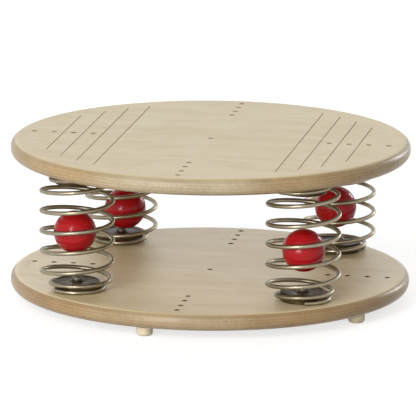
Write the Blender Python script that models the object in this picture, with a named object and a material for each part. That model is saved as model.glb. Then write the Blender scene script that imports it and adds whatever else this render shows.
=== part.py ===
"""Spring balance board.

Two round plywood boards lie one above the other, held apart by four barrel-ended coil springs. The lower board
stands on five round feet. Each end of a spring is clamped by a notched disc with one screw in its middle, and a
red ball sits inside each spring. X runs along the line of small holes, Y to the back, Z up, and the origin is on
the floor under the middle of the boards.
"""

import math

import bmesh
import bpy
import numpy as np
from mathutils import Matrix, Vector

# Space left between pieces that touch
GAP = 0.0003

# Boards
BOARD_RADIUS = 0.250
BOARD_THICKNESS = 0.021
BOARD_EDGE_ROUND = 0.0095
BOARD_SPACING = 0.147
BOARD_SIDES = 64
BOARD_ROUND_STEPS = 3

# Small blind holes: one in the middle and a row along each half axis, counted in from the rim
HOLE_RADIUS = 0.0025
HOLE_DEPTH = 0.012
HOLE_PITCH = 0.025
HOLES_PER_ROW = 4
HOLE_RIM_MARGIN = 0.025
HOLE_SIDES = 8

# Engraved lines across the upper board, counted in from each side
GROOVE_WIDTH = 0.0015
GROOVE_DEPTH = 0.0012
GROOVE_PITCH = 0.025
GROOVES_PER_SIDE = 4
GROOVE_SIDE_MARGIN = 0.0625
GROOVE_END_MARGIN = 0.034

# Feet under the lower board
FOOT_COUNT = 5
FOOT_RADIUS = 0.0103
FOOT_HEIGHT = 0.012
FOOT_EDGE_ROUND = 0.004
FOOT_RIM_MARGIN = 0.020
FOOT_FIRST_ANGLE = -100
FOOT_RECESS_DEPTH = 0.005
FOOT_SCREW_HEAD_RADIUS = 0.0042
FOOT_SCREW_HEAD_HEIGHT = 0.0025
FOOT_SCREW_RADIUS = 0.002
FOOT_SCREW_BITE = 0.012
FOOT_SCREW_SOCKET = 0.0022
FOOT_SIDES = 16

# Springs
WIRE_RADIUS = 0.0025
COIL_RADIUS = 0.044
END_COIL_RADIUS = 0.0326
COIL_TURNS = 7.7
COIL_POINTS_PER_TURN = 10
SPRING_RIM_MARGIN = 0.050
SPRING_FIRST_ANGLE = 45
# Turns, counted from a wire's tip, over which it climbs past its clamp, opens out and takes up its full pitch
CLIMB_TURNS = (0.40, 1.10)
OPENING_TURNS = (1.05, 1.6)
PITCH_TURNS = (1.0, 1.7)

# Clamps on the ends of the springs
CLAMP_FLANGE_THICKNESS = 0.002
CLAMP_FLANGE_OVERLAP = 0.0007
CLAMP_LIP = 0.0004
CLAMP_NOTCH_TURNS = (0.40, 1.09)
CLAMP_CAP_HEIGHT = 0.0044
CLAMP_CAP_CHAMFER = 0.001
CLAMP_SIDES = 24

# Screws of the feet and the clamps
SCREW_SIDES = 12
SCREW_ROUND_STEPS = 2
SOCKET_DEPTH_SHARE = 0.55

# Screws through the clamps
CLAMP_SCREW_RADIUS = 0.003
CLAMP_SCREW_HEAD_RADIUS = 0.0065
CLAMP_SCREW_HEAD_HEIGHT = 0.005
CLAMP_SCREW_SOCKET = 0.002
SCREW_COVER = 0.005

# Balls
BALL_RADIUS = 0.0265
BALL_SEGMENTS = 18
BALL_RINGS = 12

# Heights above the floor
LOWER_TOP = FOOT_HEIGHT + BOARD_THICKNESS
UPPER_BOTTOM = LOWER_TOP + BOARD_SPACING
MIDDLE = LOWER_TOP + BOARD_SPACING / 2

# Each spring's corner counted round from the first, and the directions of its wire tip and its ball
STATIONS = {
    "back_right": {"corner": 0, "tip": 22, "ball": 259},
    "back_left": {"corner": 1, "tip": 96, "ball": 318},
    "front_left": {"corner": 2, "tip": 228, "ball": 271},
    "front_right": {"corner": 3, "tip": 283, "ball": 281},
}

# Heights of the balls' middles above the lower board. The fourth ball lies on the edge of its clamp's screw head.
BALL_HEIGHTS = {
    "back_right": 0.0595,
    "front_left": 0.0758,
    "front_right": 0.0660,
}
SCREW_BALL_REACH = 0.008

# Clamp and wire heights above the board that they stand on
WIRE_SEAT = GAP + WIRE_RADIUS
FLANGE_BOTTOM = WIRE_SEAT + WIRE_RADIUS + GAP
FLANGE_TOP = FLANGE_BOTTOM + CLAMP_FLANGE_THICKNESS
CLAMP_TOP = FLANGE_TOP + CLAMP_CAP_HEIGHT
SCREW_TOP = CLAMP_TOP + GAP + CLAMP_SCREW_HEAD_HEIGHT


def clear_scene():
    for old in list(bpy.data.objects):
        bpy.data.objects.remove(old, do_unlink=True)


def make_material(name, colour, roughness, metallic):
    material = bpy.data.materials.new(name)
    material.use_nodes = True
    surface = material.node_tree.nodes["Principled BSDF"]
    surface.inputs["Base Color"].default_value = (*colour, 1.0)
    surface.inputs["Roughness"].default_value = roughness
    surface.inputs["Metallic"].default_value = metallic
    material.diffuse_color = (*colour, 1.0)
    return material


def smooth_step(value, limits):
    share = min(max((value - limits[0]) / (limits[1] - limits[0]), 0.0), 1.0)
    return share * share * (3 - 2 * share)


def smooth_step_sum(value, limits):
    """Area under smooth_step from its start up to the value."""
    length = limits[1] - limits[0]
    share = min(max((value - limits[0]) / length, 0.0), 1.0)
    return length * (share**3 - share**4 / 2) + max(value - limits[1], 0.0)


def arc(centre, radius, start, end, steps):
    """Profile points along an arc, with the angles in degrees from outwards towards up."""
    angles = np.radians(np.linspace(start, end, steps + 1))
    return [(centre[0] + radius * math.cos(a), centre[1] + radius * math.sin(a)) for a in angles]


def turned_mesh(name, profile, sides, bored):
    """Turns a profile of (radius, height) about Z. A radius may be a function of the angle.

    A bored profile is a closed loop. The others start and end on a flat cap.
    """
    bm = bmesh.new()
    rings = []
    for radius, height in profile:
        ring = []
        for k in range(sides):
            angle = math.tau * k / sides
            reach = radius(angle) if callable(radius) else radius
            ring.append(bm.verts.new((reach * math.cos(angle), reach * math.sin(angle), height)))
        rings.append(ring)
    pairs = list(zip(rings, rings[1:]))
    if bored:
        pairs.append((rings[-1], rings[0]))
    else:
        bm.faces.new(rings[0])
        bm.faces.new(rings[-1])
    for first, second in pairs:
        for k in range(sides):
            after = (k + 1) % sides
            bm.faces.new((first[k], first[after], second[after], second[k]))
    bmesh.ops.recalc_face_normals(bm, faces=bm.faces)
    return finished_mesh(name, bm)


def finished_mesh(name, bm):
    mesh = bpy.data.meshes.new(name)
    bm.to_mesh(mesh)
    bm.free()
    mesh.shade_smooth()
    mesh.set_sharp_from_angle(angle=math.radians(35))
    return mesh


def place(name, data, material, matrix=Matrix(), carrier=None):
    """Adds an object with its own material, carried by an empty where it moves."""
    made = bpy.data.objects.new(name, data)
    bpy.context.scene.collection.objects.link(made)
    if not data.materials:
        data.materials.append(None)
    made.material_slots[0].link = "OBJECT"
    made.material_slots[0].material = material
    made.matrix_world = matrix
    if carrier:
        made.parent = carrier
        made.matrix_parent_inverse = carrier.matrix_world.inverted()
        made.matrix_world = matrix
    return made


def make_pivot(name, height):
    """Adds the empty that carries moving pieces, at the point that they tilt about."""
    pivot = bpy.data.objects.new(name, None)
    bpy.context.scene.collection.objects.link(pivot)
    pivot.location = (0, 0, height)
    bpy.context.view_layer.update()
    return pivot


def on_circle(radius, degrees, height=0.0):
    angle = math.radians(degrees)
    return Vector((radius * math.cos(angle), radius * math.sin(angle), height))


def hexagon(flat):
    """Radius of a hexagon with this distance from its middle to a flat side, as a function of the angle."""
    sixth = math.tau / 6
    return lambda angle: flat / math.cos((angle % sixth) - sixth / 2)


def make_cutter(name, drills, lines):
    """Joins upright drills (place, radius, sides, bottom, top) and bars (corner, far corner) into one cutter."""
    bm = bmesh.new()
    for spot, radius, sides, bottom, top in drills:
        middle = Matrix.Translation((spot.x, spot.y, (bottom + top) / 2))
        bmesh.ops.create_cone(
            bm, cap_ends=True, segments=sides, radius1=radius, radius2=radius, depth=top - bottom, matrix=middle
        )
    for low, high in lines:
        size = high - low
        matrix = Matrix.Translation((low + high) / 2) @ Matrix.Diagonal((*size, 1.0))
        bmesh.ops.create_cube(bm, size=1.0, matrix=matrix)
    cutter = bpy.data.objects.new(name, finished_mesh(name, bm))
    bpy.context.scene.collection.objects.link(cutter)
    cutter.hide_render = True
    cutter.display_type = "WIRE"
    return cutter


def hole_places():
    """Places of the small holes: the middle and a row along each half axis."""
    places = [Vector((0, 0, 0))]
    for k in range(HOLES_PER_ROW):
        reach = BOARD_RADIUS - HOLE_RIM_MARGIN - k * HOLE_PITCH
        places += [on_circle(reach, quarter) for quarter in (0, 90, 180, 270)]
    return places


def spring_place(station):
    angle = SPRING_FIRST_ANGLE + 90 * station["corner"]
    return on_circle(BOARD_RADIUS - SPRING_RIM_MARGIN, angle)


def foot_place(number):
    return on_circle(BOARD_RADIUS - FOOT_RIM_MARGIN, FOOT_FIRST_ANGLE + number * 360 / FOOT_COUNT)


def board_mesh(name, bottom):
    low = bottom + BOARD_EDGE_ROUND
    high = bottom + BOARD_THICKNESS - BOARD_EDGE_ROUND
    inner = BOARD_RADIUS - BOARD_EDGE_ROUND
    profile = arc((inner, low), BOARD_EDGE_ROUND, -90, 0, BOARD_ROUND_STEPS)
    profile += arc((inner, high), BOARD_EDGE_ROUND, 0, 90, BOARD_ROUND_STEPS)
    return turned_mesh(name, profile, BOARD_SIDES, bored=False)


def groove_bars(top):
    """Bars for the engraved lines, which run in Y and stop short of the rim."""
    bars = []
    end_radius = BOARD_RADIUS - GROOVE_END_MARGIN
    for k in range(GROOVES_PER_SIDE):
        across = BOARD_RADIUS - GROOVE_SIDE_MARGIN - k * GROOVE_PITCH
        reach = math.sqrt(end_radius**2 - across**2)
        for x in (-across, across):
            low = Vector((x - GROOVE_WIDTH / 2, -reach, top - GROOVE_DEPTH))
            high = Vector((x + GROOVE_WIDTH / 2, reach, top + GROOVE_DEPTH))
            bars.append((low, high))
    return bars


def make_board(name, bottom, drills, lines, material, carrier=None):
    board = place(name, board_mesh(name, bottom), material, carrier=carrier)
    cut = board.modifiers.new("holes", "BOOLEAN")
    cut.operation = "DIFFERENCE"
    cut.solver = "EXACT"
    cut.object = make_cutter(name + "_cutter", drills, lines)
    return board


def board_drills(bottom, screws_from_top):
    """The small holes from the top, and the holes for the clamp screws from the side that faces the springs."""
    top = bottom + BOARD_THICKNESS
    past = HOLE_RADIUS
    drills = [(spot, HOLE_RADIUS, HOLE_SIDES, top - HOLE_DEPTH, top + past) for spot in hole_places()]
    depth = BOARD_THICKNESS - SCREW_COVER + GAP
    for station in STATIONS.values():
        span = (top - depth, top + past) if screws_from_top else (bottom - past, bottom + depth)
        drills.append((spring_place(station), CLAMP_SCREW_RADIUS + GAP, SCREW_SIDES, *span))
    return drills


def foot_drills():
    """The holes for the foot screws, from the lower board's underside."""
    radius = FOOT_SCREW_RADIUS + GAP
    end = FOOT_HEIGHT + FOOT_SCREW_BITE + GAP
    start = FOOT_HEIGHT - radius
    return [(foot_place(n), radius, SCREW_SIDES, start, end) for n in range(FOOT_COUNT)]


def foot_mesh():
    """A round foot with a recess for its screw head, standing on the floor."""
    top = FOOT_HEIGHT - GAP
    bore = FOOT_SCREW_RADIUS + GAP
    recess = FOOT_SCREW_HEAD_RADIUS + GAP
    rounding = arc((FOOT_RADIUS - FOOT_EDGE_ROUND, FOOT_EDGE_ROUND), FOOT_EDGE_ROUND, 0, -90, SCREW_ROUND_STEPS)
    profile = [(bore, top), (FOOT_RADIUS, top), *rounding]
    profile += [(recess, 0.0), (recess, FOOT_RECESS_DEPTH), (bore, FOOT_RECESS_DEPTH)]
    return turned_mesh("foot", profile, FOOT_SIDES, bored=True)


def screw_mesh(name, shank, length, head, head_height, socket):
    """A round-headed socket screw with its head's underside at height 0 and its shank below."""
    rounding = head_height / 2
    profile = [(shank, -length), (shank, 0.0), (head, 0.0)]
    profile += arc((head - rounding, head_height - rounding), rounding, 0, 90, SCREW_ROUND_STEPS)
    depth = head_height * SOCKET_DEPTH_SHARE
    profile += [(hexagon(socket), head_height), (hexagon(socket), head_height - depth)]
    return turned_mesh(name, profile, SCREW_SIDES, bored=False)


def clamp_hub_radius():
    """The hub clears the inside of the end turn, whose flats between points lie nearer the middle."""
    nearest = END_COIL_RADIUS * math.cos(math.pi / COIL_POINTS_PER_TURN) - WIRE_RADIUS
    return nearest - GAP - CLAMP_LIP


def clamp_mesh():
    """A plug inside the end turns. Its flange holds the first turn down, with a notch where the wire climbs."""
    hub = clamp_hub_radius()
    bore = CLAMP_SCREW_RADIUS + GAP
    start, end = CLAMP_NOTCH_TURNS

    def flange(angle):
        turn = angle / math.tau
        if any(start <= turn + whole <= end for whole in (0, 1)):
            return hub + CLAMP_LIP
        return END_COIL_RADIUS + CLAMP_FLANGE_OVERLAP

    profile = [(bore, GAP), (hub, GAP), (hub, FLANGE_BOTTOM), (flange, FLANGE_BOTTOM), (flange, FLANGE_TOP)]
    profile += [(hub, FLANGE_TOP), (hub, CLAMP_TOP - CLAMP_CAP_CHAMFER)]
    profile += [(hub - CLAMP_CAP_CHAMFER, CLAMP_TOP), (bore, CLAMP_TOP)]
    return turned_mesh("clamp", profile, CLAMP_SIDES, bored=True)


def coil_radius(turn):
    """Distance of the wire from the spring's axis, the same from both ends."""
    from_end = min(turn, COIL_TURNS - turn)
    return END_COIL_RADIUS + (COIL_RADIUS - END_COIL_RADIUS) * smooth_step(from_end, OPENING_TURNS)


def coil_height(turn):
    """Height of the wire above the lower board. The upper half mirrors the lower one."""
    if turn > COIL_TURNS / 2:
        return BOARD_SPACING - coil_height(COIL_TURNS - turn)
    climb = 2 * WIRE_RADIUS + 2 * GAP + CLAMP_FLANGE_THICKNESS
    open_turns = smooth_step_sum(COIL_TURNS / 2, PITCH_TURNS)
    pitch = (BOARD_SPACING / 2 - WIRE_SEAT - climb) / open_turns
    return WIRE_SEAT + climb * smooth_step(turn, CLIMB_TURNS) + pitch * smooth_step_sum(turn, PITCH_TURNS)


def coil_points():
    """Points along the wire of a spring whose lower tip lies towards +X, with height 0 on the lower board."""
    count = round(COIL_TURNS * COIL_POINTS_PER_TURN)
    points = []
    for k in range(count + 1):
        turn = COIL_TURNS * k / count
        points.append(on_circle(coil_radius(turn), 360 * turn, coil_height(turn)))
    return points


def wire_samples(points, per_stretch=6):
    """Points close together along the straight stretches between the wire's own points."""
    samples = []
    for first, second in zip(points, points[1:]):
        samples += [first.lerp(second, k / per_stretch) for k in range(per_stretch)]
    return np.array([*samples, points[-1]])


def least_gap_to_itself(points):
    """Least space between stretches of wire that lie at least half a turn apart."""
    per_stretch = 6
    samples = wire_samples(points, per_stretch)
    apart = per_stretch * COIL_POINTS_PER_TURN // 2
    least = math.inf
    for k in range(len(samples) - apart):
        least = min(least, np.linalg.norm(samples[k + apart:] - samples[k], axis=1).min())
    return least - 2 * WIRE_RADIUS


def spring_curve(points):
    curve = bpy.data.curves.new("spring", "CURVE")
    curve.dimensions = "3D"
    curve.twist_mode = "Z_UP"
    curve.bevel_depth = WIRE_RADIUS
    curve.bevel_resolution = 1
    curve.use_fill_caps = True
    spline = curve.splines.new("POLY")
    spline.points.add(len(points) - 1)
    for point, spot in zip(spline.points, points):
        point.co = (*spot, 1.0)
    return curve


def ball_mesh():
    bm = bmesh.new()
    bmesh.ops.create_uvsphere(bm, u_segments=BALL_SEGMENTS, v_segments=BALL_RINGS, radius=BALL_RADIUS)
    return finished_mesh("ball", bm)


def ball_place(name, station, points):
    """Centre of a ball, on the clamp's screw or moved out from the axis until it leans on the windings."""
    axis = spring_place(station) + Vector((0, 0, LOWER_TOP))
    direction = station["ball"]
    if name not in BALL_HEIGHTS:
        head_flat = CLAMP_SCREW_HEAD_RADIUS - CLAMP_SCREW_HEAD_HEIGHT / 2
        past_flat = SCREW_BALL_REACH - head_flat
        height = SCREW_TOP + math.sqrt((BALL_RADIUS + GAP)**2 - past_flat**2)
        return axis + on_circle(SCREW_BALL_REACH, direction, height)
    height = BALL_HEIGHTS[name]
    samples = wire_samples(points)
    touching = BALL_RADIUS + WIRE_RADIUS + GAP
    low, high = 0.0, COIL_RADIUS
    for _ in range(40):
        reach = (low + high) / 2
        centre = on_circle(reach, direction - station["tip"], height)
        if np.linalg.norm(samples - np.array(centre), axis=1).min() > touching:
            low = reach
        else:
            high = reach
    return axis + on_circle(low, direction, height)


def upright(station, height):
    """Frame of a piece that stands on the lower board at a spring, turned to the wire's tip."""
    turn = Matrix.Rotation(math.radians(station["tip"]), 4, "Z")
    return Matrix.Translation(spring_place(station) + Vector((0, 0, height))) @ turn


def upside_down(station, height):
    """The same frame turned over about the spring's middle, onto the upper wire tip."""
    centre = spring_place(station) + Vector((0, 0, MIDDLE))
    across = on_circle(1.0, station["tip"] + 180 * COIL_TURNS)
    over = Matrix.Translation(centre) @ Matrix.Rotation(math.pi, 4, across) @ Matrix.Translation(-centre)
    return over @ upright(station, height)


def make_springs(springs, balls):
    """Adds the four springs and the balls inside them."""
    wire = make_material("spring_steel", (0.32, 0.29, 0.25), 0.3, 1.0)
    red = make_material("ball_red", (0.40, 0.02, 0.02), 0.2, 0.0)
    points = coil_points()
    print(f"least gap of the spring wire to itself: {1000 * least_gap_to_itself(points):.2f} mm")
    curve = spring_curve(points)
    ball = ball_mesh()
    for name, station in STATIONS.items():
        place("spring_" + name, curve, wire, upright(station, LOWER_TOP), springs)
        carrier = balls if name in BALL_HEIGHTS else None
        place("ball_" + name, ball, red, Matrix.Translation(ball_place(name, station, points)), carrier)


def make_clamps(deck):
    """Adds a clamp and its screw at each end of each spring."""
    dark = make_material("clamp_dark", (0.035, 0.035, 0.035), 0.5, 0.0)
    bright = make_material("screw_zinc", (0.62, 0.62, 0.62), 0.3, 1.0)
    clamp = clamp_mesh()
    shank = CLAMP_TOP + GAP + BOARD_THICKNESS - SCREW_COVER
    screw = screw_mesh(
        "clamp_screw",
        CLAMP_SCREW_RADIUS,
        shank,
        CLAMP_SCREW_HEAD_RADIUS,
        CLAMP_SCREW_HEAD_HEIGHT,
        CLAMP_SCREW_SOCKET,
    )
    for name, station in STATIONS.items():
        for side, frame, carrier in (("lower", upright, None), ("upper", upside_down, deck)):
            place(f"{side}_clamp_{name}", clamp, dark, frame(station, LOWER_TOP), carrier)
            head = frame(station, LOWER_TOP + CLAMP_TOP + GAP)
            place(f"{side}_clamp_screw_{name}", screw, bright, head, carrier)


def make_feet():
    """Adds the feet and the screws that hold them."""
    cream = make_material("foot_cream", (0.68, 0.58, 0.45), 0.5, 0.0)
    bright = make_material("foot_screw_zinc", (0.62, 0.62, 0.62), 0.3, 1.0)
    foot = foot_mesh()
    length = FOOT_HEIGHT - FOOT_RECESS_DEPTH + GAP + FOOT_SCREW_BITE
    screw = screw_mesh(
        "foot_screw",
        FOOT_SCREW_RADIUS,
        length,
        FOOT_SCREW_HEAD_RADIUS,
        FOOT_SCREW_HEAD_HEIGHT,
        FOOT_SCREW_SOCKET,
    )
    turned_over = Matrix.Rotation(math.pi, 4, "X")
    for number in range(FOOT_COUNT):
        spot = foot_place(number)
        place(f"foot_{number + 1}", foot, cream, Matrix.Translation(spot))
        seat = Matrix.Translation(spot + Vector((0, 0, FOOT_RECESS_DEPTH - GAP)))
        place(f"foot_screw_{number + 1}", screw, bright, seat @ turned_over)


def make_boards(deck):
    lower_wood = make_material("lower_birch", (0.53, 0.45, 0.33), 0.45, 0.0)
    upper_wood = make_material("upper_birch", (0.60, 0.53, 0.40), 0.45, 0.0)
    lower_drills = board_drills(FOOT_HEIGHT, screws_from_top=True) + foot_drills()
    make_board("lower_board", FOOT_HEIGHT, lower_drills, [], lower_wood)
    upper_drills = board_drills(UPPER_BOTTOM, screws_from_top=False)
    grooves = groove_bars(UPPER_BOTTOM + BOARD_THICKNESS)
    make_board("upper_board", UPPER_BOTTOM, upper_drills, grooves, upper_wood, deck)


def main():
    clear_scene()
    deck = make_pivot("deck_pivot", MIDDLE)
    springs = make_pivot("spring_pivot", MIDDLE)
    balls = make_pivot("ball_pivot", MIDDLE)
    make_boards(deck)
    make_springs(springs, balls)
    make_clamps(deck)
    make_feet()


main()
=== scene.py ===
import math

import bmesh
import bpy
from mathutils import Matrix, Vector


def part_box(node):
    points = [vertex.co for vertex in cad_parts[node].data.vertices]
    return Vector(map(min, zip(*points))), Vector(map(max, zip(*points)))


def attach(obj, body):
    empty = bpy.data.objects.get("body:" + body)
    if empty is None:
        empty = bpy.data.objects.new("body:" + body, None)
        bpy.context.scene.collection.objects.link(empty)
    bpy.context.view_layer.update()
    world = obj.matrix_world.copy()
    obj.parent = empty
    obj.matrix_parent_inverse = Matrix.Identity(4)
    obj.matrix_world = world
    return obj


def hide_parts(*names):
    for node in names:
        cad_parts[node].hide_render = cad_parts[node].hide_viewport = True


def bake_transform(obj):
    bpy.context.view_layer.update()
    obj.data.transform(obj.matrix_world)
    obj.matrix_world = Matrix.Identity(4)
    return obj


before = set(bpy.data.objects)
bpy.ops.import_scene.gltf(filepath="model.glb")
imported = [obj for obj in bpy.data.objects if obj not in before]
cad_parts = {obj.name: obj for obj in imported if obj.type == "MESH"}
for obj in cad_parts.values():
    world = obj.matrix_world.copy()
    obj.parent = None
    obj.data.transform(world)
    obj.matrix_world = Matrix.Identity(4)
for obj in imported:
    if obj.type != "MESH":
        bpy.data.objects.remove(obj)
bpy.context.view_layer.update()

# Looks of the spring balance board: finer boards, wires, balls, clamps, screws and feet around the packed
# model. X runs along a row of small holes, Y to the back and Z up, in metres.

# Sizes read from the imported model
LOWER_LOW, LOWER_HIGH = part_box("lower_board")
UPPER_LOW, UPPER_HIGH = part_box("upper_board")
BOARD_RADIUS = LOWER_HIGH.x
BOARD_THICKNESS = LOWER_HIGH.z - LOWER_LOW.z
LOWER_TOP = LOWER_HIGH.z
UPPER_BOTTOM = UPPER_LOW.z
SPACING = UPPER_BOTTOM - LOWER_TOP
MIDDLE = (UPPER_BOTTOM + LOWER_TOP) / 2

# Sizes repeated from the part's source
GAP = 0.0003
BOARD_EDGE_ROUND = 0.0095
HOLE_RADIUS = 0.0025
HOLE_DEPTH = 0.012
HOLE_PITCH = 0.025
HOLES_PER_ROW = 4
HOLE_RIM_MARGIN = 0.025
GROOVE_WIDTH = 0.0015
GROOVE_DEPTH = 0.0012
GROOVE_PITCH = 0.025
GROOVES_PER_SIDE = 4
GROOVE_SIDE_MARGIN = 0.0625
GROOVE_END_MARGIN = 0.034
FOOT_COUNT = 5
FOOT_RADIUS = 0.0103
FOOT_HEIGHT = 0.012
FOOT_RIM_MARGIN = 0.020
FOOT_FIRST_ANGLE = -100
FOOT_RECESS_DEPTH = 0.005
FOOT_SCREW_RADIUS = 0.002
FOOT_SCREW_HEAD_RADIUS = 0.0042
FOOT_SCREW_HEAD_HEIGHT = 0.0025
FOOT_SCREW_SOCKET = 0.0022
WIRE_RADIUS = 0.0025
COIL_RADIUS = 0.044
END_COIL_RADIUS = 0.0326
COIL_TURNS = 7.7
SPRING_RIM_MARGIN = 0.050
SPRING_FIRST_ANGLE = 45
CLIMB_TURNS = (0.40, 1.10)
OPENING_TURNS = (1.05, 1.6)
PITCH_TURNS = (1.0, 1.7)
CLAMP_FLANGE_THICKNESS = 0.002
CLAMP_FLANGE_OVERLAP = 0.0007
CLAMP_LIP = 0.0004
CLAMP_NOTCH_TURNS = (0.40, 1.09)
CLAMP_CAP_HEIGHT = 0.0044
CLAMP_SCREW_RADIUS = 0.003
CLAMP_SCREW_HEAD_RADIUS = 0.0065
CLAMP_SCREW_HEAD_HEIGHT = 0.005
CLAMP_SCREW_SOCKET = 0.002
WIRE_SEAT = GAP + WIRE_RADIUS
FLANGE_BOTTOM = WIRE_SEAT + WIRE_RADIUS + GAP
FLANGE_TOP = FLANGE_BOTTOM + CLAMP_FLANGE_THICKNESS
CLAMP_TOP = FLANGE_TOP + CLAMP_CAP_HEIGHT
HUB_RADIUS = END_COIL_RADIUS * math.cos(math.pi / 10) - WIRE_RADIUS - GAP - CLAMP_LIP

# Sizes of the looks alone. The outer ply is a share of a ply, and a line's floor and the spread of its sides
# are shares of its width.
PLIES = 11
OUTER_PLY = 0.62
SEAM_WIDTH = 0.00022
COUNTERSINK = 0.0011
GROOVE_FLOOR = 0.6
GROOVE_SLOPE = 0.4
WIRE_LOOK_RADIUS = 0.0027
WIRE_TIP_BEVEL = 0.0006
CLAMP_RIM = 0.0022
CLAMP_DISH = 0.0007
CLAMP_ROUND = 0.001
CLAMP_BOSS_MARGIN = 0.0035
SCREW_EDGE = 0.0002
FOOT_ROUND = 0.0042
FOOT_EDGE = 0.0004

# Each spring's corner counted round from the first, and the direction of its wire tip
STATIONS = {
    "back_right": {"corner": 0, "tip": 22},
    "back_left": {"corner": 1, "tip": 96},
    "front_left": {"corner": 2, "tip": 228},
    "front_right": {"corner": 3, "tip": 283},
}

# Stretches of wire by turns, each with the one body that carries it or the two bodies it lies between.
STRETCHES = [
    (0.0, 1.1, ("base",)),
    (1.1, 1.6, ("base", "coils_a")),
    (1.6, 2.1, ("coils_a", "coils_b")),
    (2.1, 2.6, ("coils_b", "ball_level")),
    (2.6, 4.3, ("ball_level",)),
    (4.3, 4.8, ("ball_level", "coils_c")),
    (4.8, 5.2, ("coils_c",)),
    (5.2, 5.7, ("coils_c", "coils_d")),
    (5.7, 6.1, ("coils_d",)),
    (6.1, 6.6, ("coils_d", "deck")),
    (6.6, COIL_TURNS, ("deck",)),
]

# The rear left ball lies on its clamp's screw, and the others lean on the middle windings.
BALL_BODIES = {
    "back_right": "ball_level",
    "back_left": "base",
    "front_left": "ball_level",
    "front_right": "ball_level",
}

# Fineness of the meshes
BOARD_SIDES = 288
EDGE_STEPS = 12
HOLE_SIDES = 32
GROOVE_END_STEPS = 8
WIRE_SIDES = 24
RINGS_PER_TURN = 80
CLAMP_SIDES = 96
SCREW_SIDES = 48
FOOT_SIDES = 64
ROUND_STEPS = 5
DOME_STEPS = 8
FOOT_STEPS = 10
BALL_SUBDIVISIONS = 5
SHARP_ANGLE = 35

# Camera, from the fit of the photograph's holes and rims
CAMERA_AZIMUTH = 10.205
CAMERA_ELEVATION = 13.159
CAMERA_DISTANCE = 7.0
CAMERA_ROLL = 0.347
CAMERA_LENS = 481.9
CAMERA_SENSOR = 36
CAMERA_POINT = Vector((0.0, 0.0, 0.0143))
CAMERA_ASIDE = -0.00299
CAMERA_RISE = 0.0952

# Light: the sky's strength low and high beside a backdrop of 1, and its stronger sides, each with its azimuth
# from the camera's side, its strength and the cosine of its reach to either hand
SKY_LOW = 0.38
SKY_HIGH = 0.24
SKY_FADE = (0.45, 0.80)
SKY_SIDES = ((-28, 1.8, 0.40), (180, 6.2, 0.70))
BACKDROP_HIGH = 0.45
BACKDROP_FADE = (0.55, 0.90)

# Lamps: azimuth from the camera's side, elevation, distance, width and height, and power
LAMPS = {
    "key": (-24, 20, 3.2, (0.6, 2.0), 45),
    "front": (-26, 3.5, 3.0, (1.4, 0.5), 22),
    "rim": (138, 15, 3.0, (0.4, 1.0), 14),
}

# Floor: its tone in the light, and what is added to it where it is seen
FLOOR_RADIUS = 14
FLOOR_TONE = 0.45
FLOOR_LIFT = 0.70


def linear(red, green, blue):
    """Linear colour from the 0 to 255 values that a screen shows."""

    def one(value):
        share = value / 255
        return share / 12.92 if share <= 0.04045 else ((share + 0.055) / 1.055) ** 2.4

    return (one(red), one(green), one(blue), 1.0)


def on_circle(radius, degrees, height=0.0):
    angle = math.radians(degrees)
    return Vector((radius * math.cos(angle), radius * math.sin(angle), height))


def smooth_step(value, limits):
    """0 before the limits, 1 past them, and a smooth change between them."""
    share = min(max((value - limits[0]) / (limits[1] - limits[0]), 0.0), 1.0)
    return share * share * (3 - 2 * share)


def smooth_step_sum(value, limits):
    """Area under smooth_step from its start up to the value."""
    length = limits[1] - limits[0]
    share = min(max((value - limits[0]) / length, 0.0), 1.0)
    return length * (share**3 - share**4 / 2) + max(value - limits[1], 0.0)


# Materials

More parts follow.
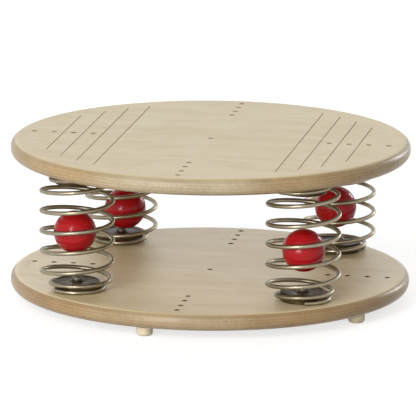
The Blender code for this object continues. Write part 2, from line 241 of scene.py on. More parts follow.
class Surface:
    """A material with a Principled shader, and short calls for the nodes that feed it."""

    def __init__(self, name, **values):
        self.material = bpy.data.materials.new(name)
        self.material.use_nodes = True
        self.tree = self.material.node_tree
        self.shader = self.tree.nodes["Principled BSDF"]
        for socket, value in values.items():
            self.shader.inputs[socket.replace("_", " ").title().replace("Ior", "IOR")].default_value = value
        coordinates = self.tree.nodes.new("ShaderNodeTexCoord")
        self.place = coordinates.outputs["Object"]
        self.uv = coordinates.outputs["UV"]

    def node(self, kind, **settings):
        made = self.tree.nodes.new(kind)
        for key, value in settings.items():
            setattr(made, key, value)
        return made

    def feed(self, target, value):
        """Links a socket to an input, or sets the input to a value."""
        if isinstance(value, bpy.types.NodeSocket):
            self.tree.links.new(value, target)
        else:
            target.default_value = value

    def stretch(self, source, scale):
        mapping = self.node("ShaderNodeMapping")
        self.feed(mapping.inputs["Vector"], source)
        mapping.inputs["Scale"].default_value = scale
        return mapping.outputs["Vector"]

    def noise(self, source, scale, detail=3.0, roughness=0.5, distortion=0.0):
        noise = self.node("ShaderNodeTexNoise")
        self.feed(noise.inputs["Vector"], source)
        noise.inputs["Scale"].default_value = scale
        noise.inputs["Detail"].default_value = detail
        noise.inputs["Roughness"].default_value = roughness
        noise.inputs["Distortion"].default_value = distortion
        return noise.outputs["Fac"]

    def math(self, operation, first, second=0.0, third=0.0):
        step = self.node("ShaderNodeMath", operation=operation)
        for socket, value in zip(step.inputs, (first, second, third)):
            self.feed(socket, value)
        return step.outputs["Value"]

    def spread(self, value, low, high, to_low=0.0, to_high=1.0):
        """Maps low..high smoothly onto to_low..to_high, held at the ends."""
        span = self.node("ShaderNodeMapRange", interpolation_type="SMOOTHSTEP")
        for socket, given in zip(span.inputs, (value, low, high, to_low, to_high)):
            self.feed(socket, given)
        return span.outputs["Result"]

    def mix(self, share, first, second):
        """Blends two colours, which are the node's inputs 6 and 7 and its output 2."""
        blend = self.node("ShaderNodeMix", data_type="RGBA")
        self.feed(blend.inputs["Factor"], share)
        self.feed(blend.inputs[6], first)
        self.feed(blend.inputs[7], second)
        return blend.outputs[2]

    def split(self, source):
        parts = self.node("ShaderNodeSeparateXYZ")
        self.feed(parts.inputs[0], source)
        return parts.outputs

    def bump(self, height, strength, distance):
        bump = self.node("ShaderNodeBump")
        self.feed(bump.inputs["Height"], height)
        bump.inputs["Strength"].default_value = strength
        bump.inputs["Distance"].default_value = distance
        self.feed(self.shader.inputs["Normal"], bump.outputs["Normal"])

    def colour(self, value):
        self.feed(self.shader.inputs["Base Color"], value)

    def roughness(self, value):
        self.feed(self.shader.inputs["Roughness"], value)


def face_veneer(wood, place, face, streak, speck):
    """Fine grain, broad bands and small specks, all along X. Also returns the grain and the clouds in it."""
    fine = wood.noise(wood.stretch(place, (9, 420, 60)), 1.0, detail=5, roughness=0.62, distortion=0.3)
    bands = wood.noise(wood.stretch(place, (2.2, 26, 1)), 1.0, detail=3, roughness=0.5, distortion=0.6)
    clouds = wood.noise(wood.stretch(place, (14, 22, 1)), 1.0, detail=4, roughness=0.55, distortion=1.2)
    flecks = wood.noise(wood.stretch(place, (60, 900, 1)), 1.0, detail=2, roughness=0.5)
    tone = wood.math("MULTIPLY", wood.spread(bands, 0.35, 0.7), 0.50)
    tone = wood.math("MULTIPLY_ADD", wood.spread(clouds, 0.35, 0.75), 0.35, tone)
    tone = wood.math("MULTIPLY_ADD", wood.spread(fine, 0.45, 0.8), 0.35, tone)
    colour = wood.mix(tone, face, streak)
    return wood.mix(wood.spread(flecks, 0.66, 0.78, 0.0, 0.30), colour, speck), fine, clouds


def rim_plies(wood, place, bottom, side, front):
    """Plies round the edge, with thin glue lines between them. Also returns the plies' pattern.

    More of the plies run along X, so the front and the back show paler long grain; their paler, greyer tone
    is also a painted sheen of the lacquer.
    """
    _, back, height = wood.split(wood.place)
    ply = wood.math("DIVIDE", wood.math("SUBTRACT", height, bottom), BOARD_THICKNESS / PLIES)
    wander = wood.noise(wood.stretch(place, (20, 20, 90)), 1.0, detail=2)
    ply = wood.math("ADD", ply, wood.spread(wander, 0.3, 0.7, -0.16, 0.16))
    layer = wood.spread(wood.math("PINGPONG", ply, 1.0), 0.30, 0.70)
    grain = wood.noise(wood.stretch(place, (420, 420, 260)), 1.0, detail=4, roughness=0.6)
    patches = wood.noise(wood.stretch(place, (18, 18, 40)), 1.0, detail=3)
    tone = wood.math("MULTIPLY", layer, 0.22)
    tone = wood.math("MULTIPLY_ADD", wood.spread(grain, 0.30, 0.75), 0.34, tone)
    tone = wood.math("MULTIPLY_ADD", wood.spread(patches, 0.35, 0.75), 0.34, tone)
    facing = wood.math("POWER", wood.math("DIVIDE", back, BOARD_RADIUS), 2.0)
    # Paler, greyer front and back: long grain, and a painted sheen of the lacquer.
    long_grain_and_sheen = wood.spread(facing, 0.68, 0.98)
    pale = wood.mix(long_grain_and_sheen, side[0], front[0])
    dark = wood.mix(long_grain_and_sheen, side[1], front[1])
    glue = wood.math("PINGPONG", wood.math("ADD", ply, 0.5), 0.5)
    colour = wood.mix(tone, pale, dark)
    return wood.mix(wood.spread(glue, 0.0, 0.07, 0.16, 0.0), colour, linear(128, 102, 76)), layer


def wood_material(name, bottom, face, streak, side, front, seed):
    """Lacquered plywood: face veneer with fine grain along X, and thin plies round the edge.

    Side and front are pairs of a pale and a dark tone of the rim; the front pair is paler and greyer, partly
    as a painted sheen.
    """
    wood = Surface(name, roughness=0.34, specular_ior_level=0.20, coat_weight=0.2, coat_roughness=0.28)
    shifted = wood.node("ShaderNodeVectorMath", operation="ADD")
    wood.feed(shifted.inputs[0], wood.place)
    shifted.inputs[1].default_value = (seed, 2.3 * seed, 0.0)
    place = shifted.outputs["Vector"]
    veneer, fine, clouds = face_veneer(wood, place, face, streak, side[1])
    rim, layer = rim_plies(wood, place, bottom, side, front)

    height = wood.split(wood.place)["Z"]
    outer = OUTER_PLY * BOARD_THICKNESS / PLIES
    low = bottom + outer
    high = bottom + BOARD_THICKNESS - outer
    below = wood.spread(height, low - SEAM_WIDTH, low + SEAM_WIDTH, 1.0, 0.0)
    above = wood.spread(height, high - SEAM_WIDTH, high + SEAM_WIDTH)
    on_face = wood.math("MAXIMUM", above, below)
    seam = wood.math("MULTIPLY", on_face, wood.math("SUBTRACT", 1.0, on_face))
    colour = wood.mix(on_face, rim, veneer)
    wood.colour(wood.mix(wood.math("MULTIPLY", seam, 2.2), colour, linear(140, 112, 82)))
    wood.roughness(wood.spread(clouds, 0.3, 0.75, 0.30, 0.40))
    wood.feed(wood.shader.inputs["Coat Weight"], wood.spread(on_face, 0.0, 1.0, 0.17, 0.07))
    wood.bump(wood.math("ADD", fine, wood.math("MULTIPLY", layer, 0.3)), 0.06, 0.0004)
    return wood.material


def hole_and_line_material(name, colour, dark):
    """Cut wood on the walls of holes and engraved lines. On the holes' walls its darker tones are partly cut
    end grain and partly painted shade.
    """
    cut_surface = Surface(name, roughness=0.75, specular_ior_level=0.2)
    grain = cut_surface.noise(cut_surface.stretch(cut_surface.place, (300, 900, 1200)), 1.0, detail=4)
    cut_surface.colour(cut_surface.mix(cut_surface.spread(grain, 0.3, 0.7), colour, dark))
    cut_surface.bump(grain, 0.2, 0.0003)
    return cut_surface.material


def steel_material():
    """Bright drawn wire: faint lines along its length, and slightly duller patches."""
    steel = Surface("spring_steel", metallic=1.0, roughness=0.42)
    along = steel.stretch(steel.uv, (14, 1400, 1))
    lines = steel.noise(along, 1.0, detail=3, roughness=0.6)
    patches = steel.noise(steel.place, 90.0, detail=3, roughness=0.6)
    tone = steel.spread(patches, 0.35, 0.75, 0.0, 0.5)
    tone = steel.math("MULTIPLY_ADD", steel.spread(lines, 0.3, 0.75), 0.5, tone)
    steel.colour(steel.mix(tone, linear(162, 153, 132), linear(136, 125, 104)))
    steel.roughness(steel.spread(patches, 0.3, 0.75, 0.33, 0.42))
    steel.bump(lines, 0.01, 0.0001)
    return steel.material


def ball_material():
    """Glossy red, with faint turning lines round the ball."""
    red = Surface("ball_red", roughness=0.30, specular_ior_level=0.08, coat_weight=0.24, coat_roughness=0.05)
    lines = red.noise(red.stretch(red.place, (12, 12, 520)), 1.0, detail=3, roughness=0.5, distortion=0.15)
    clouds = red.noise(red.stretch(red.place, (60, 60, 110)), 1.0, detail=3)
    base = linear(154, 20, 25)
    deep = linear(148, 16, 20)
    light = linear(159, 25, 29)
    colour = red.mix(red.spread(lines, 0.35, 0.72), base, deep)
    colour = red.mix(red.spread(clouds, 0.5, 0.8, 0.0, 0.5), colour, light)
    red.colour(colour)
    red.roughness(red.spread(clouds, 0.3, 0.7, 0.18, 0.30))
    red.bump(lines, 0.012, 0.0003)
    return red.material


def clamp_material():
    """Dark moulded plastic with a fine texture."""
    tint = (1.0, 0.80, 0.52, 1.0)
    dark = Surface("clamp_dark", roughness=0.36, specular_ior_level=0.12, specular_tint=tint)
    grain = dark.noise(dark.place, 900.0, detail=3, roughness=0.6)
    smears = dark.noise(dark.place, 70.0, detail=3)
    dark.colour(dark.mix(dark.spread(smears, 0.3, 0.75), linear(70, 57, 35), linear(36, 29, 17)))
    dark.roughness(dark.spread(smears, 0.3, 0.7, 0.24, 0.40))
    dark.bump(grain, 0.06, 0.0003)
    return dark.material


def screw_material():
    """Dulled zinc plate with a slight yellow cast."""
    zinc = Surface("screw_zinc", metallic=0.6, roughness=0.4)
    patches = zinc.noise(zinc.place, 400.0, detail=3)
    zinc.colour(zinc.mix(zinc.spread(patches, 0.3, 0.7), linear(112, 105, 92), linear(90, 84, 73)))
    zinc.roughness(zinc.spread(patches, 0.3, 0.7, 0.34, 0.50))
    zinc.bump(patches, 0.05, 0.0002)
    return zinc.material


def foot_material():
    """Cream rubber with a soft sheen and slight soiling."""
    cream = Surface("foot_cream", roughness=0.5, specular_ior_level=0.4)
    patches = cream.noise(cream.place, 120.0, detail=4, roughness=0.6)
    grain = cream.noise(cream.place, 1500.0, detail=2)
    cream.colour(cream.mix(cream.spread(patches, 0.35, 0.75), linear(204, 191, 164), linear(187, 172, 144)))
    cream.roughness(cream.spread(patches, 0.3, 0.7, 0.42, 0.58))
    cream.bump(grain, 0.1, 0.0002)
    return cream.material


# Meshes

def arc(centre, radius, start, end, steps):
    """Profile points along an arc, with the angles in degrees from outwards towards up."""
    angles = [math.radians(start + (end - start) * k / steps) for k in range(steps + 1)]
    return [(centre[0] + radius * math.cos(a), centre[1] + radius * math.sin(a)) for a in angles]


def join_rings(bm, rings, closed=False):
    """Faces between rings of as many points, and from the last ring to the first, or across the two ends."""
    pairs = list(zip(rings, rings[1:]))
    if closed:
        pairs.append((rings[-1], rings[0]))
    else:
        bm.faces.new(rings[0])
        bm.faces.new(rings[-1])
    count = len(rings[0])
    for first, second in pairs:
        for k in range(count):
            after = (k + 1) % count
            bm.faces.new((first[k], first[after], second[after], second[k]))


def finished_mesh(name, bm):
    bmesh.ops.recalc_face_normals(bm, faces=bm.faces)
    mesh = bpy.data.meshes.new(name)
    bm.to_mesh(mesh)
    bm.free()
    mesh.shade_smooth()
    mesh.set_sharp_from_angle(angle=math.radians(SHARP_ANGLE))
    return mesh


def turned_mesh(name, profile, sides, bored=False):
    """Turns a profile of (radius, height) about Z. A radius may be a function of the angle."""
    bm = bmesh.new()
    rings = []
    for radius, height in profile:
        ring = []
        for k in range(sides):
            angle = math.tau * k / sides
            reach = radius(angle) if callable(radius) else radius
            ring.append(bm.verts.new((reach * math.cos(angle), reach * math.sin(angle), height)))
        rings.append(ring)
    join_rings(bm, rings, closed=bored)
    return finished_mesh(name, bm)


def add_piece(name, mesh, materials, nodes, body=None):
    """Links a piece that stands for its CAD nodes, and lets it ride on its body."""
    piece = bpy.data.objects.new(name, mesh)
    bpy.context.scene.collection.objects.link(piece)
    mesh.materials.clear()
    for material in materials:
        mesh.materials.append(material)
    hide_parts(*nodes)
    if body:
        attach(piece, body)
    return piece


def spring_place(station):
    angle = SPRING_FIRST_ANGLE + 90 * station["corner"]
    return on_circle(BOARD_RADIUS - SPRING_RIM_MARGIN, angle)


def upright(station, height):
    """Frame of a piece that stands on the lower board at a spring, turned to the wire's tip."""
    turn = Matrix.Rotation(math.radians(station["tip"]), 4, "Z")
    return Matrix.Translation(spring_place(station) + Vector((0, 0, height))) @ turn


def upside_down(station, height):
    """The same frame turned over about the spring's middle, onto the upper wire tip."""
    centre = spring_place(station) + Vector((0, 0, MIDDLE))
    across = on_circle(1.0, station["tip"] + 180 * COIL_TURNS)
    over = Matrix.Translation(centre) @ Matrix.Rotation(math.pi, 4, across) @ Matrix.Translation(-centre)
    return over @ upright(station, height)


# Boards

def hole_places():
    places = [Vector((0, 0, 0))]
    for k in range(HOLES_PER_ROW):
        reach = BOARD_RADIUS - HOLE_RIM_MARGIN - k * HOLE_PITCH
        places += [on_circle(reach, quarter) for quarter in (0, 90, 180, 270)]
    return places


def groove_lines():
    """The engraved lines as (x, half length)."""
    end_radius = BOARD_RADIUS - GROOVE_END_MARGIN
    lines = []
    for k in range(GROOVES_PER_SIDE):
        across = BOARD_RADIUS - GROOVE_SIDE_MARGIN - k * GROOVE_PITCH
        reach = math.sqrt(end_radius**2 - across**2)
        lines += [(-across, reach), (across, reach)]
    return lines


def drill_rings(bm, spot, top):
    """Rings of a round drill that widens to a small countersink at the board's top."""
    rings = []
    for radius, height in (
        (HOLE_RADIUS, top - HOLE_DEPTH),
        (HOLE_RADIUS, top - COUNTERSINK),
        (HOLE_RADIUS + 2 * COUNTERSINK, top + COUNTERSINK),
    ):
        ring = []
        for k in range(HOLE_SIDES):
            angle = math.tau * k / HOLE_SIDES
            point = (spot.x + radius * math.cos(angle), spot.y + radius * math.sin(angle), height)
            ring.append(bm.verts.new(point))
        rings.append(ring)
    return rings


def line_rings(bm, x, reach, top):
    """Rings of a bar with rounded ends and sloping sides, narrower at the line's floor."""
    rings = []
    for share, height in (
        (GROOVE_FLOOR / 2, top - GROOVE_DEPTH),
        (GROOVE_FLOOR / 2 + GROOVE_SLOPE, top + GROOVE_DEPTH),
    ):
        half = share * GROOVE_WIDTH
        ring = []
        for end in (1, -1):
            for k in range(GROOVE_END_STEPS + 1):
                angle = math.pi * k / GROOVE_END_STEPS
                across = x + end * half * math.cos(angle)
                along = end * (reach - half + half * math.sin(angle))
                ring.append(bm.verts.new((across, along, height)))
        rings.append(ring)
    return rings


def board_cutter(top, grooved):
    """All that is cut from a board's top, as one mesh."""
    bm = bmesh.new()
    for spot in hole_places():
        join_rings(bm, drill_rings(bm, spot, top))
    if grooved:
        for x, reach in groove_lines():
            join_rings(bm, line_rings(bm, x, reach, top))
    return finished_mesh("cutter", bm)


def in_hole(point):
    return any((point - spot).to_2d().length < HOLE_RADIUS + COUNTERSINK for spot in hole_places())


def make_board(name, node, bottom, body, materials, grooved):
    """A plywood disc with rounded edges and its small holes, and on the upper board the engraved lines.

    The materials are the wood's, the holes' and, where there are lines, the lines'.
    """
    top = bottom + BOARD_THICKNESS
    inner = BOARD_RADIUS - BOARD_EDGE_ROUND
    profile = arc((inner, bottom + BOARD_EDGE_ROUND), BOARD_EDGE_ROUND, -90, 0, EDGE_STEPS)
    profile += arc((inner, top - BOARD_EDGE_ROUND), BOARD_EDGE_ROUND, 0, 90, EDGE_STEPS)
    board = add_piece(name, turned_mesh(name, profile, BOARD_SIDES), materials, [node])
    cutter = bpy.data.objects.new(name + "_cutter", board_cutter(top, grooved))
    bpy.context.scene.collection.objects.link(cutter)
    cut = board.modifiers.new("holes", "BOOLEAN")
    cut.operation = "DIFFERENCE"
    cut.solver = "EXACT"
    cut.object = cutter
    graph = bpy.context.evaluated_depsgraph_get()
    mesh = bpy.data.meshes.new_from_object(board.evaluated_get(graph))
    board.modifiers.clear()
    board.data = mesh
    bpy.data.objects.remove(cutter, do_unlink=True)
    edge = inner - 0.001
    skin = 0.00001
    for face in mesh.polygons:
        inside = math.hypot(face.center.x, face.center.y) < edge
        if not inside or not bottom + skin < face.center.z < top - skin:
            face.material_index = 0
        elif in_hole(face.center):
            face.material_index = 1
        else:
            face.material_index = 2
    flat_caps(mesh)
    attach(board, body)


def flat_caps(mesh):
    """Keeps the large flat faces flat in shading: every corner of one takes the face's own normal."""
    level = 0.9999
    large = 0.001
    normals = [Vector(n.vector) for n in mesh.corner_normals]
    for face in mesh.polygons:
        if abs(face.normal.z) > level and face.area > large:
            for loop in face.loop_indices:
                normals[loop] = face.normal.copy()
    mesh.normals_split_custom_set(normals)


# Springs

def coil_radius(turn):
    from_end = min(turn, COIL_TURNS - turn)
    return END_COIL_RADIUS + (COIL_RADIUS - END_COIL_RADIUS) * smooth_step(from_end, OPENING_TURNS)


def coil_height(turn):
    if turn > COIL_TURNS / 2:
        return SPACING - coil_height(COIL_TURNS - turn)
    climb = 2 * WIRE_RADIUS + 2 * GAP + CLAMP_FLANGE_THICKNESS
    pitch = (SPACING / 2 - WIRE_SEAT - climb) / smooth_step_sum(COIL_TURNS / 2, PITCH_TURNS)
    return WIRE_SEAT + climb * smooth_step(turn, CLIMB_TURNS) + pitch * smooth_step_sum(turn, PITCH_TURNS)


def coil_point(turn):
    return on_circle(coil_radius(turn), 360 * turn, coil_height(turn))


def wire_frame(turn):
    """The wire's middle at a turn, with its direction outwards and the one square to that and to the wire."""
    step = 0.0005
    centre = coil_point(turn)
    along = (coil_point(min(turn + step, COIL_TURNS)) - coil_point(max(turn - step, 0.0))).normalized()
    side = Vector((centre.x, centre.y, 0)).normalized()
    side = (side - along * side.dot(along)).normalized()
    return centre, side, along.cross(side)


def stretch_turns(first, last):
    """Pairs of turn and radius along a stretch, with a small bevel where the wire ends."""
    steps = max(2, round((last - first) * RINGS_PER_TURN))
    turns = [(first + (last - first) * k / steps, WIRE_LOOK_RADIUS) for k in range(steps + 1)]
    tip = WIRE_LOOK_RADIUS - WIRE_TIP_BEVEL
    bevel = WIRE_TIP_BEVEL / (math.tau * END_COIL_RADIUS)
    if first == 0.0:
        turns = [(0.0, tip), (bevel, WIRE_LOOK_RADIUS)] + turns[1:]
    if last == COIL_TURNS:
        turns = turns[:-1] + [(last - bevel, WIRE_LOOK_RADIUS), (last, tip)]
    return turns


def make_stretch(name, first, last, matrix):
    """A tube along the wire from one turn to another, with true normals, closed where the wire ends."""
    turns = stretch_turns(first, last)
    bm = bmesh.new()
    rings = []
    spokes = []
    for turn, radius in turns:
        centre, side, over = wire_frame(turn)
        ring = []
        for k in range(WIRE_SIDES):
            angle = math.tau * k / WIRE_SIDES
            spoke = side * math.cos(angle) + over * math.sin(angle)
            ring.append(bm.verts.new(centre + spoke * radius))
            spokes.append(spoke)
        rings.append(ring)
    lay = bm.loops.layers.uv.new("UVMap")
    length = math.tau * COIL_RADIUS
    around = WIRE_LOOK_RADIUS * math.tau / WIRE_SIDES
    for r, (ring, after) in enumerate(zip(rings, rings[1:])):
        for k in range(WIRE_SIDES):
            n = (k + 1) % WIRE_SIDES
            face = bm.faces.new((ring[k], ring[n], after[n], after[k]))
            face.smooth = True
            spots = ((r, k), (r, k + 1), (r + 1, k + 1), (r + 1, k))
            for loop, (step, spoke) in zip(face.loops, spots):
                loop[lay].uv = (turns[step][0] * length, spoke * around)
    if first == 0.0:
        bm.faces.new(list(reversed(rings[0])))
    if last == COIL_TURNS:
        bm.faces.new(rings[-1])
    mesh = bpy.data.meshes.new(name)
    bm.to_mesh(mesh)
    bm.free()
    mesh.transform(matrix)
    turn_only = matrix.to_3x3()
    normals = [None] * len(mesh.loops)
    for face in mesh.polygons:
        cap = len(face.vertices) > 4
        for loop in face.loop_indices:
            spoke = face.normal if cap else turn_only @ spokes[mesh.loops[loop].vertex_index]
            normals[loop] = spoke.copy()
    mesh.normals_split_custom_set(normals)
    return mesh


def make_spring(name, station, material):
    """One spring as stretches of wire, each on the body or between the two bodies that carry it.

    A stretch on one body rides on it, and a stretch between two bodies stays fixed where it is built.
    """
    matrix = upright(station, LOWER_TOP)
    for number, (first, last, bodies) in enumerate(STRETCHES, start=1):
        label = f"spring_{name}_wire_{number:02d}"
        mesh = make_stretch(label, first, last, matrix)
        piece = add_piece(label, mesh, [material], ["spring_" + name])
        if len(bodies) == 1:
            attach(piece, bodies[0])
            continue
        start = matrix @ coil_point(first)
        end = matrix @ coil_point(last)
        end.z = start.z
        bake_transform(piece)


# Clamps, screws, balls and feet

def flange_reach(angle):
    """The flange's radius at an angle: over the first turn, but for a notch where the wire climbs."""
    start, end = CLAMP_NOTCH_TURNS
    soft = 0.012
    turn = angle / math.tau
    notch = 0.0
    for there in (turn, turn + 1):
        inside = smooth_step(there, (start - soft, start)) - smooth_step(there, (end, end + soft))
        notch = max(notch, inside)
    full = END_COIL_RADIUS + CLAMP_FLANGE_OVERLAP
    return full + (HUB_RADIUS + CLAMP_LIP - full) * notch


def clamp_mesh():
    """A plug inside the end turns, with a notched flange over the first turn and a shallow dish on top."""
    bore = CLAMP_SCREW_RADIUS + GAP
    corner = (HUB_RADIUS - CLAMP_ROUND, CLAMP_TOP - CLAMP_ROUND)
    dish = HUB_RADIUS - CLAMP_RIM
    boss = CLAMP_SCREW_HEAD_RADIUS + CLAMP_BOSS_MARGIN
    low = CLAMP_TOP - CLAMP_DISH
    profile = [(bore, GAP), (HUB_RADIUS, GAP), (HUB_RADIUS, FLANGE_BOTTOM)]
    profile += [(flange_reach, FLANGE_BOTTOM), (flange_reach, FLANGE_TOP), (HUB_RADIUS, FLANGE_TOP)]
    profile += arc(corner, CLAMP_ROUND, 0, 90, ROUND_STEPS)
    profile += [(dish, CLAMP_TOP), (dish - CLAMP_DISH, low)]
    profile += [(boss + CLAMP_DISH, low), (boss, CLAMP_TOP), (bore, CLAMP_TOP)]
    return turned_mesh("clamp", profile, CLAMP_SIDES, bored=True)


def hexagon(flat):
    """The radius of a hexagon at an angle, from half its width across flats."""
    sixth = math.tau / 6
    return lambda angle: flat / math.cos((angle % sixth) - sixth / 2)


def screw_mesh(name, shank, length, head, height, socket):
    """A round-headed socket screw with its head's underside at height 0 and its shank below."""
    shoulder = 0.3 * height
    flat_top = 1.7 * socket
    depth = 0.55 * height
    profile = [(shank, -length), (shank, 0.0), (head - SCREW_EDGE, 0.0), (head, SCREW_EDGE), (head, shoulder)]
    for k in range(1, DOME_STEPS + 1):
        angle = math.pi / 2 * k / DOME_STEPS
        radius = flat_top + (head - flat_top) * math.cos(angle)
        profile.append((radius, shoulder + (height - shoulder) * math.sin(angle)))
    profile += [(hexagon(socket + SCREW_EDGE), height), (hexagon(socket), height - SCREW_EDGE)]
    profile += [(hexagon(socket), height - depth)]
    return turned_mesh(name, profile, SCREW_SIDES)


def make_clamps(dark, zinc):
    for name, station in STATIONS.items():
        for side, stand, body in (("lower", upright, "base"), ("upper", upside_down, "deck")):
            mesh = clamp_mesh()
            mesh.transform(stand(station, LOWER_TOP))
            node = f"{side}_clamp_{name}"
            add_piece(node + "_plug", mesh, [dark], [node], body)
            mesh = screw_mesh(
                "clamp_screw",
                CLAMP_SCREW_RADIUS,
                CLAMP_TOP,
                CLAMP_SCREW_HEAD_RADIUS,
                CLAMP_SCREW_HEAD_HEIGHT,
                CLAMP_SCREW_SOCKET,
            )
            mesh.transform(stand(station, LOWER_TOP + CLAMP_TOP + GAP))
            node = f"{side}_clamp_screw_{name}"
            add_piece(node + "_bright", mesh, [zinc], [node], body)


def make_balls(red):
    """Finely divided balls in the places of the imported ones."""
    for name, body in BALL_BODIES.items():
        node = "ball_" + name
        low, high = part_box(node)
        centre = (low + high) / 2
        radius = (high.z - low.z) / 2
        bm = bmesh.new()
        bmesh.ops.create_icosphere(bm, subdivisions=BALL_SUBDIVISIONS, radius=radius)
        mesh = finished_mesh(node, bm)
        mesh.transform(Matrix.Translation(centre))
        add_piece(node + "_glossy", mesh, [red], [node], body)


def foot_mesh():
    """A round foot with a domed lower edge and a recess for its screw head."""
    top = FOOT_HEIGHT - GAP
    bore = FOOT_SCREW_RADIUS + GAP
    recess = FOOT_SCREW_HEAD_RADIUS + GAP
    profile = [(bore, top), (FOOT_RADIUS - FOOT_EDGE, top), (FOOT_RADIUS, top - FOOT_EDGE)]
    profile += arc((FOOT_RADIUS - FOOT_ROUND, FOOT_ROUND), FOOT_ROUND, 0, -90, FOOT_STEPS)
    profile += [(recess + FOOT_EDGE, 0.0), (recess, FOOT_EDGE)]
    profile += [(recess, FOOT_RECESS_DEPTH), (bore, FOOT_RECESS_DEPTH)]
    return turned_mesh("foot", profile, FOOT_SIDES, bored=True)


def make_feet(cream, zinc):
    turned_over = Matrix.Rotation(math.pi, 4, "X")
    for number in range(1, FOOT_COUNT + 1):
        angle = FOOT_FIRST_ANGLE + (number - 1) * 360 / FOOT_COUNT
        spot = on_circle(BOARD_RADIUS - FOOT_RIM_MARGIN, angle)
        mesh = foot_mesh()
        mesh.transform(Matrix.Translation(spot))
        add_piece(f"foot_{number}_cream", mesh, [cream], [f"foot_{number}"], "base")
        mesh = screw_mesh(
            "foot_screw",
            FOOT_SCREW_RADIUS,
            FOOT_HEIGHT - FOOT_RECESS_DEPTH,
            FOOT_SCREW_HEAD_RADIUS,
            FOOT_SCREW_HEAD_HEIGHT,
            FOOT_SCREW_SOCKET,
        )
        seat = Matrix.Translation(spot + Vector((0, 0, FOOT_RECESS_DEPTH - GAP)))
        mesh.transform(seat @ turned_over)
        add_piece(f"foot_screw_{number}_bright", mesh, [zinc], [f"foot_screw_{number}"], "base")


# Camera, floor and light

def camera_axes():
    azimuth = math.radians(CAMERA_AZIMUTH)
    elevation = math.radians(CAMERA_ELEVATION)
    back = Vector((
        math.sin(azimuth) * math.cos(elevation),
        -math.cos(azimuth) * math.cos(elevation),
        math.sin(elevation),
    ))
    right = Vector((math.cos(azimuth), math.sin(azimuth), 0))
    return right, back.cross(right), back


def make_camera():
    right, up, back = camera_axes()
    eye = CAMERA_POINT + CAMERA_DISTANCE * back
    centre = CAMERA_POINT + right * CAMERA_ASIDE + up * CAMERA_RISE
    turn = (eye - centre).to_track_quat("Z", "Y").to_matrix().to_4x4()
    data = bpy.data.cameras.new("camera")
    data.lens = CAMERA_LENS
    data.sensor_width = CAMERA_SENSOR
    data.sensor_fit = "HORIZONTAL"
    camera = bpy.data.objects.new("camera", data)
    camera.matrix_world = Matrix.Translation(eye) @ turn @ Matrix.Rotation(math.radians(CAMERA_ROLL), 4, "Z")
    bpy.context.scene.collection.objects.link(camera)
    bpy.context.scene.camera = camera


def from_camera_side(azimuth, elevation):
    """Direction away from the object, in degrees to the right of the camera's side and above the horizon."""
    turn = math.radians(azimuth + CAMERA_AZIMUTH)
    rise = math.radians(elevation)
    return Vector((math.sin(turn) * math.cos(rise), -math.cos(turn) * math.cos(rise), math.sin(rise)))


def seen_directly(tree):
    """1 for rays from the camera, from glossy surfaces and through glass, and 0 for the light itself."""
    path = tree.nodes.new("ShaderNodeLightPath")
    total = path.outputs["Is Camera Ray"]
    for kind in ("Is Glossy Ray", "Is Transmission Ray"):
        step = tree.nodes.new("ShaderNodeMath")
        step.operation = "MAXIMUM"
        tree.links.new(total, step.inputs[0])
        tree.links.new(path.outputs[kind], step.inputs[1])
        total = step.outputs[0]
    return total


def make_world():
    """Soft light all round, stronger near the horizon and from some sides, and a white backdrop."""
    world = bpy.data.worlds.new("studio")
    world.use_nodes = True
    bpy.context.scene.world = world
    tree = world.node_tree
    direction = tree.nodes.new("ShaderNodeTexCoord").outputs["Generated"]
    parts = tree.nodes.new("ShaderNodeSeparateXYZ")
    tree.links.new(direction, parts.inputs[0])

    def span(source, limits, values):
        """Maps one pair of limits smoothly onto a pair of values."""
        made = tree.nodes.new("ShaderNodeMapRange")
        made.interpolation_type = "SMOOTHSTEP"
        for key, value in zip(("From Min", "From Max", "To Min", "To Max"), (*limits, *values)):
            made.inputs[key].default_value = value
        tree.links.new(source, made.inputs["Value"])
        return made.outputs["Result"]

    def background(strength):
        shade = tree.nodes.new("ShaderNodeBackground")
        shade.inputs["Color"].default_value = (1.0, 1.0, 1.0, 1.0)
        tree.links.new(strength, shade.inputs["Strength"])
        return shade.outputs[0]

    level = span(parts.outputs["Z"], SKY_FADE, (SKY_LOW, SKY_HIGH))
    for azimuth, strength, reach in SKY_SIDES:
        towards = tree.nodes.new("ShaderNodeVectorMath")
        towards.operation = "DOT_PRODUCT"
        towards.inputs[1].default_value = from_camera_side(azimuth, 0)
        tree.links.new(direction, towards.inputs[0])
        total = tree.nodes.new("ShaderNodeMath")
        total.operation = "ADD"
        tree.links.new(level, total.inputs[0])
        tree.links.new(span(towards.outputs["Value"], (reach, 1.0), (0.0, strength)), total.inputs[1])
        level = total.outputs[0]
    backdrop = span(parts.outputs["Z"], BACKDROP_FADE, (1.0, BACKDROP_HIGH))

    mix = tree.nodes.new("ShaderNodeMixShader")
    tree.links.new(seen_directly(tree), mix.inputs["Fac"])
    tree.links.new(background(level), mix.inputs[1])
    tree.links.new(background(backdrop), mix.inputs[2])
    tree.links.new(mix.outputs[0], tree.nodes["World Output"].inputs["Surface"])


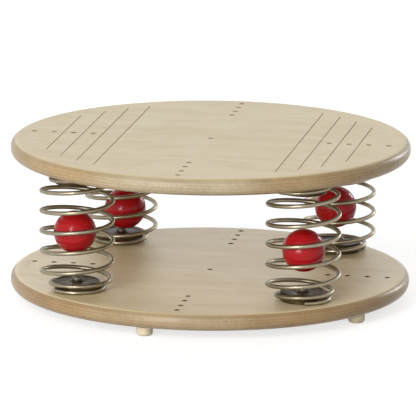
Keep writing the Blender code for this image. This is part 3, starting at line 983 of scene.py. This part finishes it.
def make_floor():
    """A pale floor that keeps the object's shadow and shows white to the camera where it is lit."""
    bm = bmesh.new()
    bmesh.ops.create_circle(bm, cap_ends=True, segments=64, radius=FLOOR_RADIUS)
    mesh = bpy.data.meshes.new("floor")
    bm.to_mesh(mesh)
    bm.free()
    floor = bpy.data.objects.new("floor", mesh)
    bpy.context.scene.collection.objects.link(floor)
    material = bpy.data.materials.new("floor_white")
    material.use_nodes = True
    tree = material.node_tree
    shader = tree.nodes["Principled BSDF"]
    shader.inputs["Base Color"].default_value = (FLOOR_TONE, FLOOR_TONE, FLOOR_TONE, 1.0)
    shader.inputs["Roughness"].default_value = 0.9
    shader.inputs["Specular IOR Level"].default_value = 0.0
    glow = tree.nodes.new("ShaderNodeEmission")
    lift = tree.nodes.new("ShaderNodeMath")
    lift.operation = "MULTIPLY"
    lift.inputs[1].default_value = FLOOR_LIFT
    tree.links.new(seen_directly(tree), lift.inputs[0])
    tree.links.new(lift.outputs[0], glow.inputs["Strength"])
    both = tree.nodes.new("ShaderNodeAddShader")
    tree.links.new(shader.outputs[0], both.inputs[0])
    tree.links.new(glow.outputs[0], both.inputs[1])
    tree.links.new(both.outputs[0], tree.nodes["Material Output"].inputs["Surface"])
    mesh.materials.append(material)


def add_lamp(name, azimuth, elevation, distance, size, power):
    """A soft lamp that looks at the object, placed by its direction as seen from the camera's side."""
    away = from_camera_side(azimuth, elevation)
    data = bpy.data.lights.new(name, "AREA")
    data.shape = "RECTANGLE"
    data.size, data.size_y = size
    data.energy = power
    lamp = bpy.data.objects.new(name, data)
    spot = Vector((0, 0, MIDDLE)) + away * distance
    lamp.matrix_world = Matrix.Translation(spot) @ away.to_track_quat("Z", "Y").to_matrix().to_4x4()
    bpy.context.scene.collection.objects.link(lamp)


def main():
    lower_wood = wood_material(
        "lower_birch",
        bottom=LOWER_LOW.z,
        face=linear(212, 195, 158),
        streak=linear(200, 180, 140),
        side=(linear(164, 138, 100), linear(126, 96, 62)),
        # The front tones are paler and greyer, partly as a painted sheen.
        front=(linear(168, 149, 118), linear(131, 107, 76)),
        seed=3.1,
    )
    upper_wood = wood_material(
        "upper_birch",
        bottom=UPPER_LOW.z,
        face=linear(205, 187, 144),
        streak=linear(195, 173, 128),
        side=(linear(172, 149, 111), linear(135, 106, 70)),
        # The front tones are paler and greyer, partly as a painted sheen.
        front=(linear(178, 165, 138), linear(141, 122, 93)),
        seed=7.7,
    )
    # Hole walls: darker tones, partly cut end grain and partly painted shade in the holes.
    drilled = hole_and_line_material("drilled_wood_and_shade", linear(118, 88, 58), linear(74, 52, 32))
    drilled_paler = hole_and_line_material("drilled_paler_wood_and_shade", linear(175, 147, 114), linear(145, 118, 87))
    engraved = hole_and_line_material("engraved_wood", linear(202, 178, 144), linear(180, 154, 120))
    lower = [lower_wood, drilled]
    upper = [upper_wood, drilled_paler, engraved]
    make_board("lower_board_plywood", "lower_board", LOWER_LOW.z, "base", lower, False)
    make_board("upper_board_plywood", "upper_board", UPPER_LOW.z, "deck", upper, True)
    steel = steel_material()
    for name, station in STATIONS.items():
        make_spring(name, station, steel)
    make_balls(ball_material())
    zinc = screw_material()
    make_clamps(clamp_material(), zinc)
    make_feet(foot_material(), zinc)
    make_camera()
    make_world()
    make_floor()
    for name, lamp in LAMPS.items():
        add_lamp(name, *lamp)
    bpy.context.scene.view_settings.view_transform = "Standard"


main()
